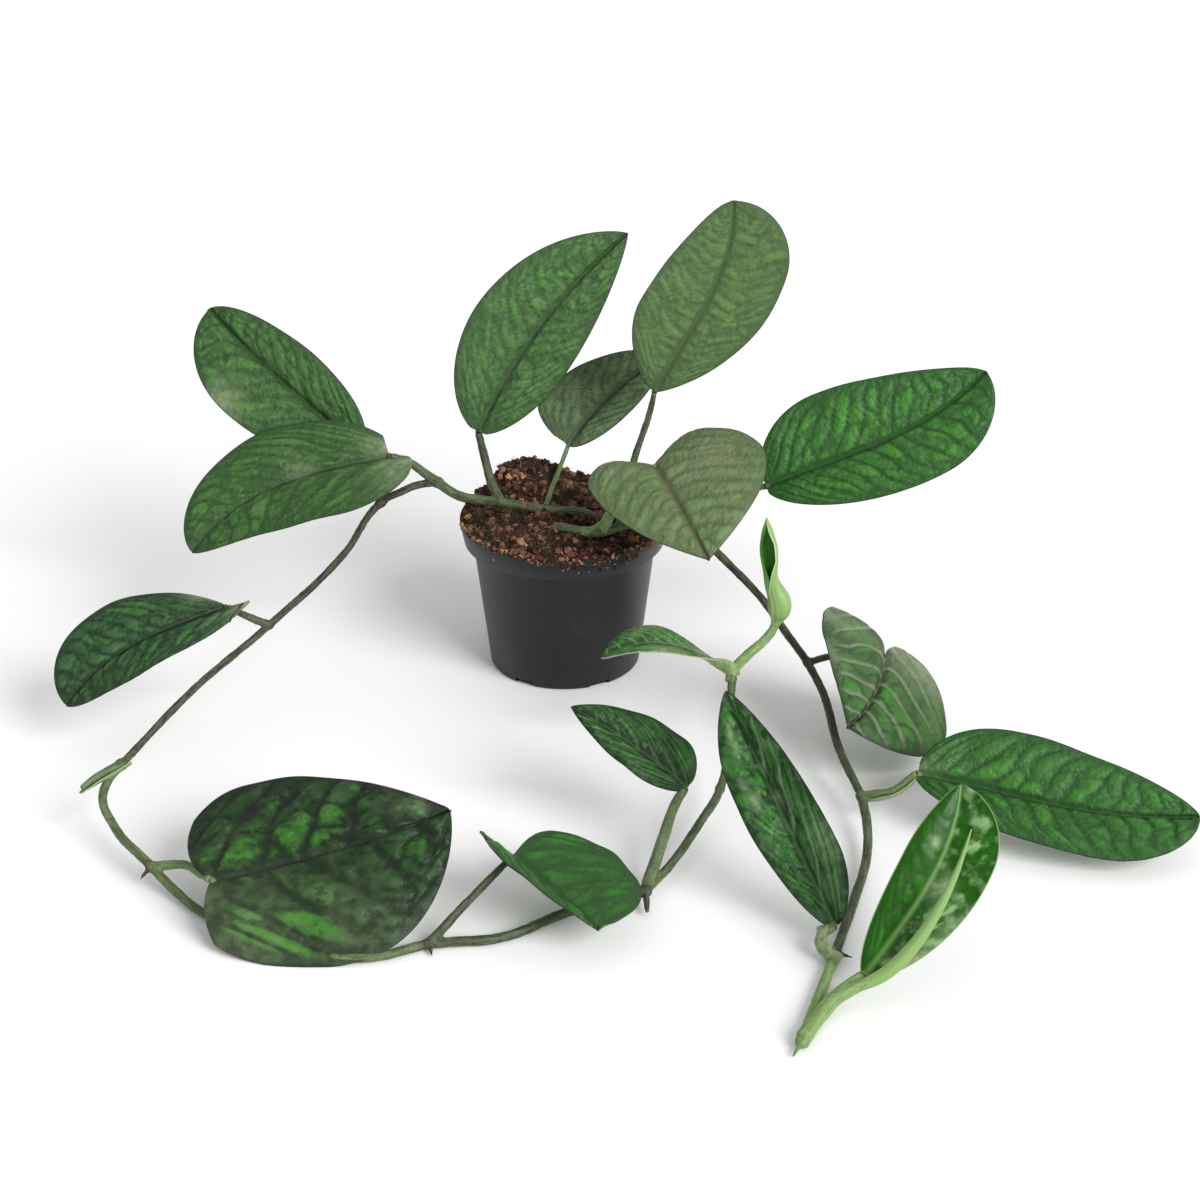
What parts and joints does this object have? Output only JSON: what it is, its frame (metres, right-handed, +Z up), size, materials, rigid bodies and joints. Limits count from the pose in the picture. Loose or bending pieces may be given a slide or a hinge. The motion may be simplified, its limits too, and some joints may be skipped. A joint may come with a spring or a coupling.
{
  "type": "potted monstera plant",
  "caption": "Young climbing monstera with quilted leaves in a round tapered nursery pot, its two long vines trailing forward to lie on the surface.",
  "frame": {"origin": "middle of the pot's base, on the surface that the pot stands on", "axes": "+Z up along the pot's axis, -Y towards the front where the vines lie, +X to the right seen from the front"},
  "size_m": [0.6026, 0.464, 0.2701],
  "materials": {
    "pot": "satin",
    "soil": "matte",
    "stem": "satin",
    "leaf": "satin",
    "older_leaf": "satin",
    "young_leaf": "satin",
    "shoot": "satin"
  },
  "bodies": {
    "root": {"pot": "pot", "soil": "soil", "stem_left_vine": "stem", "stem_right_vine": "stem", "leaf_left_high": "leaf", "leaf_left_low": "leaf", "leaf_crown_tall": "older_leaf", "leaf_crown_top": "older_leaf", "leaf_crown_small": "older_leaf", "leaf_crown_heart": "older_leaf", "leaf_crown_right": "leaf", "leaf_left_trailing": "leaf", "leaf_front_heart": "leaf", "leaf_front_folded": "leaf", "leaf_front_small": "leaf", "leaf_right_upright": "leaf", "leaf_right_tilted": "leaf", "leaf_right_long": "leaf", "leaf_right_young": "young_leaf", "leaf_left_young": "young_leaf", "shoot_left_vine": "shoot", "shoot_right_vine": "shoot"}
  },
  "joints": []
}
